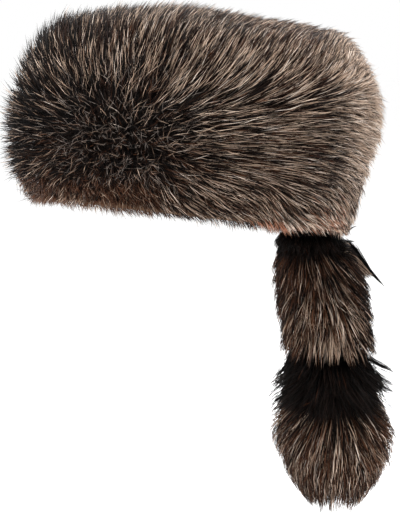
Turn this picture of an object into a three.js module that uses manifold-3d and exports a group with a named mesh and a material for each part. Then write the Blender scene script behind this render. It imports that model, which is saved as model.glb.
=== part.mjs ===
// Coonskin cap: a hide band and crown, deep fur in locks, and a ringed tail hanging from the back of the rim.
// Millimetres, +Z up, the front of the cap faces -Y. The origin is the middle of the rim, where a head goes in.

import * as THREE from 'three';
import { mergeVertices } from 'three/addons/utils/BufferGeometryUtils.js';
import Module from 'manifold-3d';

const wasm = await Module();
wasm.setup();

// Hide
const openingLength = 200;
const openingWidth = 164;
const bandWall = 2;
const crownWall = 2;
const bandHeightFront = 98;
const bandHeightBack = 110;
const crownInset = 5;
const crownDome = 6;
const seamGap = 0.3;
const capTiltDegrees = 7.5;

// Fur of the cap: furDepth and crownFur reach to the tips, lockLift is how far the tips stand above the
// packed underfur
const furDepth = 37;
const crownFur = 30;
const lockLift = 7;
const capLockLength = 40;

// Tail: the lengths of its four sections down from the rim, and its size at the tips of the fur
const ringUpperLength = 14;
const tailUpperLength = 70;
const ringLowerLength = 38;
const tailTipLength = 71;
const tailWidth = 70;
const tailDepth = 60;
const tailLockLift = 7;
const tailLockLength = 40;
const tailSway = 21;
const swayEnds = 0.62;
const tailBehindWall = 3;
const wispLength = 42;
const wispAngle = 2.2;

// Locks: each fills its share of the way round, is drawn in at its root and sunk in the underfur
const bandLocksRound = 23;
const tailLocksRound = 8;
const lockThickness = 5;
const lockRoot = 0.3;
const lockBelly = 1.9;
const lockSink = 5;
const lockSides = 3;
const lengthVaries = 0.12;
const backLength = 0.62;

// Facets round each piece
const hideColumns = 36;
const furColumns = 22;
const tailColumns = 12;

// Outer form of the cap's fur, from the rim to near the middle of the crown. up is a share of the height
// from the rim to the tips on the crown, out a share of furDepth, inward a share of the way to the middle.
const furSections = [
  { upFront: 0, upBack: 0, outFront: 0.34, outBack: 0.36, inward: 0 },
  { upFront: 0.05, upBack: 0.05, outFront: 0.60, outBack: 0.48, inward: 0 },
  { upFront: 0.15, upBack: 0.15, outFront: 0.80, outBack: 0.56, inward: 0 },
  { upFront: 0.27, upBack: 0.27, outFront: 0.95, outBack: 0.70, inward: 0 },
  { upFront: 0.42, upBack: 0.42, outFront: 1.00, outBack: 0.89, inward: 0 },
  { upFront: 0.56, upBack: 0.57, outFront: 0.99, outBack: 1.00, inward: 0 },
  { upFront: 0.68, upBack: 0.70, outFront: 0.83, outBack: 0.93, inward: 0 },
  { upFront: 0.79, upBack: 0.81, outFront: 0.60, outBack: 0.76, inward: 0 },
  { upFront: 0.88, upBack: 0.91, outFront: 0.30, outBack: 0.50, inward: 0 },
  { upFront: 0.95, upBack: 0.98, outFront: 0, outBack: 0.14, inward: 0.02 },
  { upFront: 0.99, upBack: 1.00, outFront: 0, outBack: 0, inward: 0.24 },
  { upFront: 1.00, upBack: 1.00, outFront: 0, outBack: 0, inward: 0.60 },
];
const shoulderSection = 8;
const crownEdgeSection = 9;

// Rows of locks on the band: at is a share of the way from the rim to the shoulder, reach a share of
// capLockLength, fan turns a lock up or down
const bandLockRows = [
  { at: 0.13, reach: 0.45, fan: -0.42 },
  { at: 0.31, reach: 0.75, fan: -0.36 },
  { at: 0.51, reach: 0.85, fan: -0.08 },
  { at: 0.72, reach: 0.85, fan: 0.25 },
  { at: 0.93, reach: 0.75, fan: 0.55 },
];

// Rows of locks on the crown: inward is a share of the way from its edge to the middle, reach a share of
// capLockLength
const crownLockRows = [
  { inward: 0.02, count: 17, reach: 0.70 },
  { inward: 0.34, count: 12, reach: 0.75 },
  { inward: 0.66, count: 7, reach: 0.75 },
  { inward: 0.98, count: 2, reach: 0.70 },
];

// Outer form of the tail: down is a share of its length, width and depth are shares of its full size
const tailForm = [
  { down: -0.06, width: 0.62, depth: 0.60 },
  { down: 0.02, width: 0.86, depth: 0.84 },
  { down: 0.10, width: 0.92, depth: 0.92 },
  { down: 0.28, width: 1.06, depth: 1.02 },
  { down: 0.45, width: 1.02, depth: 0.99 },
  { down: 0.56, width: 1.16, depth: 1.08 },
  { down: 0.68, width: 1.22, depth: 1.12 },
  { down: 0.78, width: 1.18, depth: 1.10 },
  { down: 0.87, width: 0.98, depth: 0.92 },
  { down: 0.94, width: 0.68, depth: 0.62 },
  { down: 0.985, width: 0.22, depth: 0.22 },
];

// Colours
const hideColor = 0xb79a78;
const brownFurColor = 0x4a3a30;
const crownFurColor = 0x6b5a4c;
const blackFurColor = 0x14110f;

// Sections of the tail with their rows of locks: at is a share of the way down the section, reach a share of
// tailLockLength, spread is how far a lock stands out, flare is the fall of the parting at the lower end
const tailSections = [
  {
    name: 'tail_ring_upper', length: ringUpperLength, flare: 1.2, color: blackFurColor,
    rows: [{ at: 0.5, reach: 0.45, spread: 0.35 }],
  },
  {
    name: 'tail_upper', length: tailUpperLength, flare: 1.8, color: brownFurColor,
    rows: [
      { at: 0.16, reach: 0.70, spread: 0.32 },
      { at: 0.46, reach: 0.70, spread: 0.32 },
      { at: 0.77, reach: 0.70, spread: 0.32 },
    ],
  },
  {
    name: 'tail_ring_lower', length: ringLowerLength, flare: 1.1, color: blackFurColor,
    rows: [
      { at: 0.22, reach: 0.65, spread: 0.62 },
      { at: 0.72, reach: 0.60, spread: 0.66 },
    ],
  },
  {
    name: 'tail_tip', length: tailTipLength, flare: 0, color: brownFurColor,
    rows: [
      { at: 0.12, reach: 0.65, spread: 0.52 },
      { at: 0.44, reach: 0.70, spread: 0.40 },
      { at: 0.74, reach: 0.70, spread: 0.26, count: 6 },
    ],
  },
];

// Sizes worked out from the values above
const halfLength = openingLength / 2 + bandWall;
const halfWidth = openingWidth / 2 + bandWall;
const bandLockWidth = (2 * Math.PI * (halfLength + furDepth / 2)) / bandLocksRound;
const crownLockWidth = (2 * Math.PI * halfLength) / bandLocksRound;
const tailLockWidth = (Math.PI * (tailWidth + tailDepth)) / 2 / tailLocksRound;
const tailLength = tailSections.reduce((sum, section) => sum + section.length, 0);
const tailSkin = tailDepth / 2 - tailLockLift;
const capTilt = THREE.MathUtils.degToRad(capTiltDegrees);
const far = 4 * (halfLength + furDepth);
const mix = THREE.MathUtils.lerp;
const up = new THREE.Vector3(0, 0, 1);

// A LatheGeometry whose vertices are moved to place(angle, row): a closed skin round the upright axis. A loop
// joins its last row to its first, any other skin starts and ends on the axis.
function wrapped(rowCount, columnCount, place, loop = false) {
  const rows = Array.from({ length: rowCount + (loop ? 1 : 0) }, (_, row) => row % rowCount);
  const geometry = new THREE.LatheGeometry(rows.map((row) => new THREE.Vector2(1, row)), columnCount);
  const { position, uv } = geometry.attributes;
  for (let i = 0; i < position.count; i += 1) {
    const angle = uv.getX(i) * 2 * Math.PI;
    const row = rows[Math.round(uv.getY(i) * (rows.length - 1))];
    const point = place(angle, row);
    position.setXYZ(i, point.x, point.y, point.z);
  }
  return geometry;
}

// Merges shared vertices, drops triangles that closed up on the axis, and turns the faces outwards
function closed(geometry) {
  geometry.deleteAttribute('normal');
  geometry.deleteAttribute('uv');
  const merged = mergeVertices(geometry, 1e-3);
  const corners = merged.index.array;
  const at = (i) => new THREE.Vector3().fromBufferAttribute(merged.attributes.position, i);
  const kept = [];
  let volume = 0;
  for (let i = 0; i < corners.length; i += 3) {
    const [a, b, c] = corners.slice(i, i + 3);
    if (a !== b && b !== c && c !== a) {
      kept.push(a, b, c);
      volume += at(a).dot(at(b).cross(at(c)));
    }
  }
  if (volume < 0) {
    kept.reverse();
  }
  merged.setIndex(kept);
  return merged;
}

function solid(geometry) {
  const skin = closed(geometry);
  return new wasm.Manifold(new wasm.Mesh({
    numProp: 3,
    vertProperties: new Float32Array(skin.attributes.position.array),
    triVerts: new Uint32Array(skin.index.array),
  }));
}

function geometryOf(body) {
  const mesh = body.getMesh();
  const geometry = new THREE.BufferGeometry();
  geometry.setAttribute('position', new THREE.BufferAttribute(new Float32Array(mesh.vertProperties), 3));
  geometry.setIndex(new THREE.BufferAttribute(new Uint32Array(mesh.triVerts), 1));
  return geometry;
}

function joined(body, parts) {
  return parts.reduce((whole, part) => whole.add(part), body);
}

// What stays of a trimmed fur: a tip that a cut parts from its lock falls away
function trimmed(body) {
  return body.decompose().reduce((most, part) => (part.volume() > most.volume() ? part : most));
}

function piece(name, geometry, color, roughness) {
  const mesh = new THREE.Mesh(geometry, new THREE.MeshStandardMaterial({ color, roughness, metalness: 0 }));
  mesh.name = name;
  return mesh;
}

// A fixed run of small differences between locks, each within amount of 1
let seed = 7;
function vary(amount) {
  seed = (seed * 16807) % 2147483647;
  return 1 + amount * ((2 * seed) / 2147483647 - 1);
}

// The angle of a lock in its row: every other row is set half a step round, and each lock a little aside
function lockAngle(index, row, count) {
  return ((index + (row % 2) / 2 + vary(lengthVaries)) * 2 * Math.PI) / count;
}

// One lock: a flattened cone on the underfur, drawn in at its root and fullest in the middle, bent at its tip
function lock({ root, direction, outward, length, width, bend }) {
  const along = direction.clone().normalize();
  const side = new THREE.Vector3().crossVectors(along, outward).normalize();
  const ridge = new THREE.Vector3().crossVectors(side, along);
  const geometry = new THREE.ConeGeometry(1, 1, lockSides, 2);
  const { position } = geometry.attributes;
  for (let i = 0; i < position.count; i += 1) {
    const share = position.getY(i) + 0.5;
    const full = share < 0.25 ? lockRoot : lockBelly;
    const point = root.clone()
      .addScaledVector(along, -lockSink + (length + lockSink) * share)
      .addScaledVector(bend, length * share * share)
      .addScaledVector(side, (position.getX(i) * full * width) / 2)
      .addScaledVector(ridge, position.getZ(i) * full * lockThickness);
    position.setXYZ(i, point.x, point.y, point.z);
  }
  return solid(geometry);
}

// Plan of the hide at a share of the band's height: angle 0 is the front, a quarter turn is the +X side
function planNormal(angle) {
  return new THREE.Vector3(Math.sin(angle) / halfWidth, -Math.cos(angle) / halfLength, 0).normalize();
}

function planPoint(angle, out, inward, height) {
  const across = (halfWidth - crownInset * height) * (1 - inward);
  const along = (halfLength - crownInset * height) * (1 - inward);
  const point = new THREE.Vector3(across * Math.sin(angle), -along * Math.cos(angle), 0);
  return point.addScaledVector(planNormal(angle), out);
}

// Height of the band's top edge: it rises evenly from front to back
function bandTop(y) {
  return mix(bandHeightFront, bandHeightBack, (1 + y / halfLength) / 2);
}

function domeRise(inward) {
  return crownDome * (1 - (1 - inward) ** 2);
}

// Hide: the band round the head
const bandCorners = [
  { height: 0, out: -bandWall },
  { height: 0, out: 0 },
  { height: 1, out: 0 },
  { height: 1, out: -bandWall },
];
const sideBand = closed(wrapped(bandCorners.length, hideColumns, (angle, row) => {
  const { height, out } = bandCorners[row];
  const point = planPoint(angle, out, 0, height);
  return point.setZ(bandTop(point.y) * height);
}, true));

// Hide: the crown, a shallow dome on the band's top edge
const domeSteps = [0, 0.4, 1];
function crownPoint(angle, inward, lift) {
  const point = planPoint(angle, 0, inward, 1);
  return point.setZ(bandTop(point.y) + domeRise(inward) + lift);
}

const crown = closed(wrapped(2 * domeSteps.length, hideColumns, (angle, row) => {
  const upper = row >= domeSteps.length;
  const inward = domeSteps[upper ? row - domeSteps.length : domeSteps.length - 1 - row];
  return crownPoint(angle, inward, upper ? seamGap + crownWall : seamGap);
}));

// The room that the hide and the head take up inside the fur, from far below the rim
const headForm = solid(wrapped(domeSteps.length + 3, hideColumns, (angle, row) => {
  if (row === 0) {
    return new THREE.Vector3(0, 0, -far);
  }
  if (row < 3) {
    return planPoint(angle, seamGap, 0, 0).setZ(row === 1 ? -far : 0);
  }
  const inward = domeSteps[row - 3];
  const point = crownPoint(angle, inward, crownWall + 2 * seamGap);
  return inward < 1 ? point.addScaledVector(planNormal(angle), seamGap) : point;
}));

// A point of the packed underfur: section counts the rows of furSections
function furPoint(angle, section) {
  const back = (1 - Math.cos(angle)) / 2;
  const below = Math.min(Math.floor(section), furSections.length - 2);
  const [low, high] = [furSections[below], furSections[below + 1]];
  const between = (name) => mix(low[name], high[name], section - below);
  const height = mix(between('upFront'), between('upBack'), back);
  const reach = mix(between('outFront'), between('outBack'), back);
  const inward = between('inward');
  const point = planPoint(angle, reach * (furDepth - lockLift), inward, height);
  const top = bandTop(point.y) + crownWall + seamGap + crownFur - lockLift + domeRise(inward) * height;
  return point.setZ(top * height);
}

const furMass = solid(wrapped(furSections.length + 2, furColumns, (angle, row) => {
  if (row === 0) {
    return new THREE.Vector3(0, 0, 0);
  }
  if (row === furSections.length + 1) {
    const last = furPoint(angle, furSections.length - 1);
    return new THREE.Vector3(0, 0, last.z + bandTop(0) - bandTop(last.y));
  }
  return furPoint(angle, row - 1);
}));

// All that lies above the parting between the band's fur and the crown's, which flares from the band's top
// edge out through the shoulder
function aboveParting(lift) {
  return solid(wrapped(5, furColumns, (angle, row) => {
    const seam = planPoint(angle, 0, 0, 1);
    seam.z = bandTop(seam.y);
    const flare = seam.clone().lerp(furPoint(angle, shoulderSection), 4);
    const middle = new THREE.Vector3(0, 0, bandTop(0));
    const skin = [middle, seam, flare, flare.clone().setZ(far), new THREE.Vector3(0, 0, far)];
    return skin[row].addScaledVector(up, lift);
  }));
}

// Locks on the band lean towards the back on both sides, and fan up and down from its middle
function bandLocks() {
  return bandLockRows.flatMap((row, index) => Array.from({ length: bandLocksRound }, (_, i) => {
    const angle = lockAngle(i, index, bandLocksRound);
    const outward = planNormal(angle);
    const lean = Math.sqrt(Math.abs(Math.sin(angle)));
    const backwards = new THREE.Vector3(-outward.y, outward.x, 0).multiplyScalar(Math.sign(Math.sin(angle)));
    const droop = 0.1 * (1 - Math.cos(angle));
    const rise = row.fan - droop + Math.sign(row.fan) * 0.6 * (1 - lean);
    const shorter = mix(1, backLength, ((1 - Math.cos(angle)) / 2) ** 2);
    const direction = outward.clone().multiplyScalar(0.42).addScaledVector(backwards, 0.75 * lean);
    return lock({
      root: furPoint(angle, row.at * shoulderSection),
      direction: direction.addScaledVector(up, rise),
      outward,
      length: row.reach * capLockLength * shorter * vary(lengthVaries),
      width: bandLockWidth,
      bend: outward.clone().add(up).multiplyScalar(-0.08),
    });
  }));
}

// Locks on the crown spread from its middle and lean towards the back
function crownLocks() {
  return crownLockRows.flatMap((row, index) => Array.from({ length: row.count }, (_, i) => {
    const angle = lockAngle(i, index, row.count);
    const outward = new THREE.Vector3(Math.sin(angle), -Math.cos(angle), 0);
    const edge = furPoint(angle, crownEdgeSection);
    const root = edge.clone().lerp(new THREE.Vector3(0, 0, edge.z + bandTop(0) - bandTop(edge.y)), row.inward);
    root.z += domeRise(row.inward);
    return lock({
      root,
      direction: outward.multiplyScalar(0.75 - 0.45 * row.inward).add(new THREE.Vector3(0, 0.35, 0.33)),
      outward: up,
      length: row.reach * capLockLength * vary(lengthVaries),
      width: crownLockWidth,
      bend: up.clone().multiplyScalar(-0.15),
    });
  }));
}

// A point of the tail's packed underfur. The tail is modelled straight down from its root at the rim.
function tailPoint(angle, level) {
  const down = level / tailLength;
  const found = tailForm.findIndex((row) => row.down > down);
  const index = found < 0 ? tailForm.length - 1 : Math.max(found, 1);
  const [low, high] = [tailForm[index - 1], tailForm[index]];
  const share = THREE.MathUtils.clamp((down - low.down) / (high.down - low.down), 0, 1);
  const across = Math.max((mix(low.width, high.width, share) * tailWidth) / 2 - tailLockLift, 1);
  const through = Math.max((mix(low.depth, high.depth, share) * tailDepth) / 2 - tailLockLift, 1);
  return new THREE.Vector3(across * Math.sin(angle), -through * Math.cos(angle), -level);
}

const tailMass = solid(wrapped(tailForm.length + 2, tailColumns, (angle, row) => {
  const form = tailForm[THREE.MathUtils.clamp(row - 1, 0, tailForm.length - 1)];
  const point = tailPoint(angle, form.down * tailLength);
  return row === 0 || row === tailForm.length + 1 ? point.setX(0).setY(0) : point;
}));

// A slab of the tail between two partings. Inside the underfur a parting is a shallow cone, outside it falls
// with the lie of the hair: level is where it comes out of the underfur, flare its fall outside.
const partingInside = 0.3;
const partingReach = 0.85 * tailWidth;
function tailSlab(top, bottom) {
  const cone = ({ level, flare }) => [
    new THREE.Vector2(0, -level + tailSkin * partingInside),
    new THREE.Vector2(tailSkin, -level),
    new THREE.Vector2(partingReach, -level - (partingReach - tailSkin) * flare),
  ];
  const lathe = new THREE.LatheGeometry([...cone(bottom), ...cone(top).reverse()], 2 * tailColumns);
  return solid(lathe.rotateX(Math.PI / 2));
}

// How far down a parting comes out of the underfur at this angle
function partingAt({ level, flare }, angle) {
  const skin = tailPoint(angle, level);
  return level + Math.max(Math.hypot(skin.x, skin.y) - tailSkin, 0) * flare;
}

function tailLock(angle, level, length, spread, width = tailLockWidth) {
  const outward = new THREE.Vector3(Math.sin(angle) * tailWidth, -Math.cos(angle) * tailDepth, 0).normalize();
  return lock({
    root: tailPoint(angle, level),
    direction: outward.clone().multiplyScalar(spread).sub(up),
    outward,
    length,
    width,
    bend: outward.clone().multiplyScalar(-0.12),
  });
}

function tailLocks(rows, upper, lower) {
  return rows.flatMap((row, index) => {
    const count = row.count || tailLocksRound;
    return Array.from({ length: count }, (_, i) => {
      const angle = lockAngle(i, index, count);
      const level = mix(partingAt(upper, angle), partingAt(lower, angle), row.at);
      return tailLock(angle, level, row.reach * tailLockLength * vary(lengthVaries), row.spread);
    });
  });
}

// Sways a finished piece of the tail: it swings out fast below the rim and hangs straight from swayEnds down
function swayed(geometry) {
  const { position } = geometry.attributes;
  for (let i = 0; i < position.count; i += 1) {
    const share = THREE.MathUtils.clamp(-position.getZ(i) / (swayEnds * tailLength), 0, 1);
    position.setY(i, position.getY(i) + tailSway * Math.sin((share * Math.PI) / 2));
  }
  return geometry;
}

// The tail's root lies on the rim's plane, a little behind the middle of the band's wall
const tailRoot = new THREE.Vector3(0, halfLength - bandWall / 2 + tailBehindWall, 0);
tailRoot.applyAxisAngle(new THREE.Vector3(1, 0, 0), -capTilt);

// All that lies above the rim's plane, which the tail's root is cut to
const rimBlock = new THREE.BoxGeometry(far, far, far);
rimBlock.translate(0, 0, far / 2 - seamGap);
rimBlock.rotateX(-capTilt);
rimBlock.translate(0, -tailRoot.y, -tailRoot.z);
const aboveRim = solid(rimBlock);

// A long thin wisp that curls away from the upper ring
const wisp = tailLock(wispAngle, ringUpperLength / 2, wispLength, 0.9, lockThickness);

const tail = new THREE.Group();
tail.position.copy(tailRoot);
let above = { level: 0, flare: 0 };
tailSections.forEach((section, index) => {
  const first = index === 0;
  const last = index === tailSections.length - 1;
  const below = { level: above.level + section.length, flare: section.flare };
  const locks = tailLocks(section.rows, above, below);
  const whole = joined(tailMass, first ? [...locks, wisp] : locks);
  const slab = tailSlab(first ? { level: -far, flare: 0 } : above, last ? { level: far, flare: 0 } : below);
  const body = first ? whole.intersect(slab).subtract(aboveRim) : whole.intersect(slab);
  tail.add(piece(section.name, swayed(geometryOf(trimmed(body))), section.color, 0.8));
  above = { level: below.level + seamGap * Math.hypot(1, section.flare), flare: section.flare };
});

// The room that the tail's root needs below the rim, between the hanging locks of the band
const tailRoom = wrapped(4, 2 * tailColumns, (angle, row) => {
  const across = tailWidth / 2 + seamGap;
  const through = tailDepth / 2 + seamGap;
  const edge = new THREE.Vector3(across * Math.sin(angle), -through * Math.cos(angle), 0);
  const onAxis = row === 0 || row === 3;
  return (onAxis ? new THREE.Vector3() : edge).setZ(row < 2 ? 0 : -tailLength / 2);
});
tailRoom.translate(tailRoot.x, tailRoot.y, tailRoot.z);
tailRoom.rotateX(capTilt);

const sideBandFur = joined(furMass, bandLocks())
  .subtract(headForm)
  .subtract(aboveParting(0))
  .subtract(solid(tailRoom));
const crownFurLocks = joined(furMass, crownLocks())
  .intersect(aboveParting(seamGap))
  .subtract(headForm);

const cap = new THREE.Group();
cap.rotation.x = -capTilt;
cap.add(piece('side_band', sideBand, hideColor, 0.7));
cap.add(piece('crown', crown, hideColor, 0.7));
cap.add(piece('side_band_fur', geometryOf(trimmed(sideBandFur)), brownFurColor, 0.85));
cap.add(piece('crown_fur', geometryOf(trimmed(crownFurLocks)), crownFurColor, 0.85));

const coonskinCap = new THREE.Group();
coonskinCap.add(cap, tail);

export default coonskinCap;
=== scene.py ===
# Coonskin cap: deep raccoon fur on a hide cap, and a ringed tail. Metres, the front of the cap faces -Y.
import math

import bmesh
import bpy
import numpy as np
from mathutils import Matrix, Vector
from mathutils.kdtree import KDTree


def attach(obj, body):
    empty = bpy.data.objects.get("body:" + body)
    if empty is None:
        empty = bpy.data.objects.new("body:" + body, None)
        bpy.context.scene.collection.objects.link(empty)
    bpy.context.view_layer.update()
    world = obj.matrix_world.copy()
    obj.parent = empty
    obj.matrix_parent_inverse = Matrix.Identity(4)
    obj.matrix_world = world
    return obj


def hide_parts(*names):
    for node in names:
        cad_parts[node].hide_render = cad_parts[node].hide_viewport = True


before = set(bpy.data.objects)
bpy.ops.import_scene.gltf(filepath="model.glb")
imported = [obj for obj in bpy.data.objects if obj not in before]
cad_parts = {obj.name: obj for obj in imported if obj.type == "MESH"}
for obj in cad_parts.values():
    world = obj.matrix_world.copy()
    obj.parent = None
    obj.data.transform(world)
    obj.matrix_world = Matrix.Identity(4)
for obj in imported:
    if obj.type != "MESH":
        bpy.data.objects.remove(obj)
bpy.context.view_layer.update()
random = np.random.default_rng(41)
print("frame loaded")


# Materials

def srgb(code):  # hex colour to linear
    parts = [int(code[i:i + 2], 16) / 255 for i in (1, 3, 5)]
    return tuple(p / 12.92 if p <= 0.04045 else ((p + 0.055) / 1.055) ** 2.4 for p in parts) + (1.0,)


def addNode(tree, kind, settings=None, links=None, stops=None):  # one node with its settings and links
    node = tree.nodes.new(kind)
    for key, value in (settings or {}).items():
        if isinstance(key, int) or key in node.inputs:
            node.inputs[key].default_value = value
        else:
            setattr(node, key, value)
    for key, source in (links or {}).items():
        tree.links.new(source, node.inputs[key])
    if stops:
        elements = node.color_ramp.elements
        while len(elements) < len(stops):
            elements.new(0.5)
        for element, (at, colour) in zip(elements, stops):
            element.position = at
            element.color = colour
    return node


def newMaterial(name):
    material = bpy.data.materials.new(name)
    material.use_nodes = True
    tree = material.node_tree
    tree.nodes.clear()
    return material, tree


hairLook = dict(
    tones=[  # rust at the very start, then from black through the browns to silver and cream
        (0.0, "#a8735a"), (0.04, "#a8735a"), (0.055, "#040303"), (0.14, "#0b0908"), (0.27, "#1f1511"),
        (0.38, "#43291b"), (0.48, "#64412d"), (0.54, "#695347"), (0.59, "#7e746d"), (0.62, "#8e837b"),
        (0.66, "#8a7160"), (0.78, "#b09782"), (0.90, "#dac2ae"), (1.0, "#fceee1")],
    # brightness along the hair: its own banding, with painted shade darkening the roots deep in the fur
    bandsAndRootShade=[(0.0, 0.08), (0.30, 0.28), (0.55, 0.90), (0.82, 1.0), (1.0, 0.70)],  # brightness, root to tip
    roughness=0.55, specular=0.07,
)


# Raccoon guard hair is smooth banded keratin: dark at the root and palest short of the tip, with a low
# gleam. The near-black root is partly its own banding and partly painted shade deep in the fur
def hairMaterial(name):
    material, tree = newMaterial(name)
    place = addNode(tree, "ShaderNodeUVMap", {"uv_map": "OFBake"})  # u is the hair's tone, v runs along it
    split = addNode(tree, "ShaderNodeSeparateXYZ", links={0: place.outputs[0]})
    tone = addNode(tree, "ShaderNodeValToRGB", links={0: split.outputs[0]},
                   stops=[(at, srgb(code)) for at, code in hairLook["tones"]])
    shade = addNode(tree, "ShaderNodeValToRGB", links={0: split.outputs[1]},
                    stops=[(at, (v, v, v, 1)) for at, v in hairLook["bandsAndRootShade"]])
    colour = addNode(tree, "ShaderNodeMix", {"data_type": "RGBA", "blend_type": "MULTIPLY", 0: 1.0},
                     {6: tone.outputs[0], 7: shade.outputs[0]})
    shader = addNode(tree, "ShaderNodeBsdfPrincipled", {
        "Roughness": hairLook["roughness"], "Specular IOR Level": hairLook["specular"]},
        {"Base Color": colour.outputs[2]})
    addNode(tree, "ShaderNodeOutputMaterial", links={0: shader.outputs[0]})
    return material


underfurLook = dict(tuft=7.0, fleck=1.6, bumpDepth=1.2, bump=0.8, roughness=0.95, specular=0.05)  # mm


def shadedUnderfurMaterial(name, dark, pale):  # packed underfur, woolly and matt; its near-black colour is partly the underfur's own and partly painted shade deep in the fur
    material, tree = newMaterial(name)
    place = addNode(tree, "ShaderNodeTexCoord")
    tuft = addNode(tree, "ShaderNodeTexNoise", {
        "Scale": 1000 / underfurLook["tuft"], "Detail": 3.0}, {"Vector": place.outputs["Object"]})
    fleck = addNode(tree, "ShaderNodeTexNoise", {
        "Scale": 1000 / underfurLook["fleck"], "Detail": 2.0}, {"Vector": place.outputs["Object"]})
    both = addNode(tree, "ShaderNodeMath", {"operation": "MULTIPLY"},
                   {0: tuft.outputs[0], 1: fleck.outputs[0]})
    colour = addNode(tree, "ShaderNodeValToRGB", links={0: both.outputs[0]},
                     stops=[(0.12, srgb(dark)), (0.42, srgb(pale))])
    bump = addNode(tree, "ShaderNodeBump", {
        "Strength": underfurLook["bump"], "Distance": underfurLook["bumpDepth"] / 1000},
        {"Height": both.outputs[0]})
    shader = addNode(tree, "ShaderNodeBsdfPrincipled", {
        "Roughness": underfurLook["roughness"], "Specular IOR Level": underfurLook["specular"]},
        {"Base Color": colour.outputs[0], "Normal": bump.outputs[0]})
    addNode(tree, "ShaderNodeOutputMaterial", links={0: shader.outputs[0]})
    return material


shadedHideLook = dict(  # mm; the pores, really 0.35 mm apart, are drawn four times as coarse so that they show
    nap=0.9, pore=1.4, crease=14.0, bumpDepth=0.4, bump=0.5,
    # the hide's buff darkened to these browns: painted shade for the inside of the cap
    tones=[(0.34, "#4d3a29"), (0.50, "#634c37"), (0.66, "#775e46")],
    roughness=0.86, specular=0.2, sheen=0.25,
)


def shadedHideMaterial(name):  # tanned hide, flesh side out: a short brown nap with faint creases; its buff is darkened to mid brown as painted shade for the inside of the cap
    material, tree = newMaterial(name)
    place = addNode(tree, "ShaderNodeTexCoord")
    nap = addNode(tree, "ShaderNodeTexNoise", {
        "Scale": 1000 / shadedHideLook["nap"], "Detail": 4.0}, {"Vector": place.outputs["Object"]})
    crease = addNode(tree, "ShaderNodeTexNoise", {
        "Scale": 1000 / shadedHideLook["crease"], "Detail": 5.0, "Distortion": 1.2},
        {"Vector": place.outputs["Object"]})
    pore = addNode(tree, "ShaderNodeTexVoronoi", {
        "Scale": 1000 / shadedHideLook["pore"]}, {"Vector": place.outputs["Object"]})
    base = addNode(tree, "ShaderNodeValToRGB", links={0: crease.outputs[0]},
                   stops=[(at, srgb(code)) for at, code in shadedHideLook["tones"]])
    grain = addNode(tree, "ShaderNodeValToRGB", links={0: nap.outputs[0]},
                    stops=[(0.3, (0.82, 0.80, 0.78, 1)), (0.7, (1, 1, 1, 1))])
    colour = addNode(tree, "ShaderNodeMix", {"data_type": "RGBA", "blend_type": "MULTIPLY", 0: 1.0},
                     {6: base.outputs[0], 7: grain.outputs[0]})
    height = addNode(tree, "ShaderNodeMath", {"operation": "ADD"}, {0: nap.outputs[0], 1: pore.outputs[0]})
    bump = addNode(tree, "ShaderNodeBump", {
        "Strength": shadedHideLook["bump"], "Distance": shadedHideLook["bumpDepth"] / 1000},
        {"Height": height.outputs[0]})
    shader = addNode(tree, "ShaderNodeBsdfPrincipled", {
        "Roughness": shadedHideLook["roughness"], "Specular IOR Level": shadedHideLook["specular"],
        "Sheen Weight": shadedHideLook["sheen"]},
        {"Base Color": colour.outputs[2], "Normal": bump.outputs[0]})
    addNode(tree, "ShaderNodeOutputMaterial", links={0: shader.outputs[0]})
    return material


shadedNapHide = shadedHideMaterial("tannedHideNapShaded")
for node in ("side_band", "crown"):
    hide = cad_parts[node]
    hide.data.materials.clear()
    hide.data.materials.append(shadedNapHide)


# Form of the cap's fur: the same named sizes as the solids

capForm = dict(
    halfLength=0.102, halfWidth=0.084, bandFront=0.098, bandBack=0.110, crownInset=0.005, crownDome=0.006,
    hideTop=0.0023, furDepth=0.037, crownFur=0.030, tilt=math.radians(-7.5),
    hang=0.0075,  # drop of a section under the rim
)
# upFront, upBack, outFront, outBack, inward: the front's top corner is a little fuller than in the solids
capSections = np.array([
    (0, 0, 0.34, 0.36, 0), (0.05, 0.05, 0.60, 0.48, 0), (0.15, 0.15, 0.80, 0.56, 0),
    (0.27, 0.27, 0.95, 0.70, 0), (0.42, 0.42, 1.00, 0.89, 0), (0.56, 0.57, 0.99, 1.00, 0),
    (0.68, 0.70, 0.83, 0.93, 0), (0.79, 0.81, 0.74, 0.74, 0), (0.88, 0.91, 0.50, 0.46, 0),
    (0.95, 0.98, 0.20, 0.12, 0.02), (0.99, 1.00, 0, 0, 0.24), (1.00, 1.00, 0, 0, 0.60),
    (1.00, 1.00, 0, 0, 1.0)])
shoulder = 8.0  # the section where the band's fur meets the crown's
crownMiddle = len(capSections) - 1


def ramp(value, start, end):  # 0 at start, 1 at end
    return np.clip((value - start) / (end - start), 0, 1)


def mix(first, second, share):
    return first * (1 - share) + second * share


def unit(v):
    return v / np.maximum(np.linalg.norm(v, axis=-1, keepdims=True), 1e-9)


def tilted(points):
    turn = capForm["tilt"]
    y, z = points[..., 1].copy(), points[..., 2].copy()
    points[..., 1] = y * math.cos(turn) - z * math.sin(turn)
    points[..., 2] = y * math.sin(turn) + z * math.cos(turn)
    return points


def planOfHide(angle, height, inward, out):  # x, y and the band's top edge there; height is a share of it
    wide = (capForm["halfWidth"] - capForm["crownInset"] * height) * (1 - inward)
    long = (capForm["halfLength"] - capForm["crownInset"] * height) * (1 - inward)
    nx, ny = np.sin(angle) / capForm["halfWidth"], -np.cos(angle) / capForm["halfLength"]
    size = np.hypot(nx, ny)
    x = wide * np.sin(angle) + nx / size * out
    y = -long * np.cos(angle) + ny / size * out
    return x, y, mix(capForm["bandFront"], capForm["bandBack"], (1 + y / capForm["halfLength"]) / 2)


def domeRise(inward):
    return capForm["crownDome"] * (1 - (1 - inward) ** 2)


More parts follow.
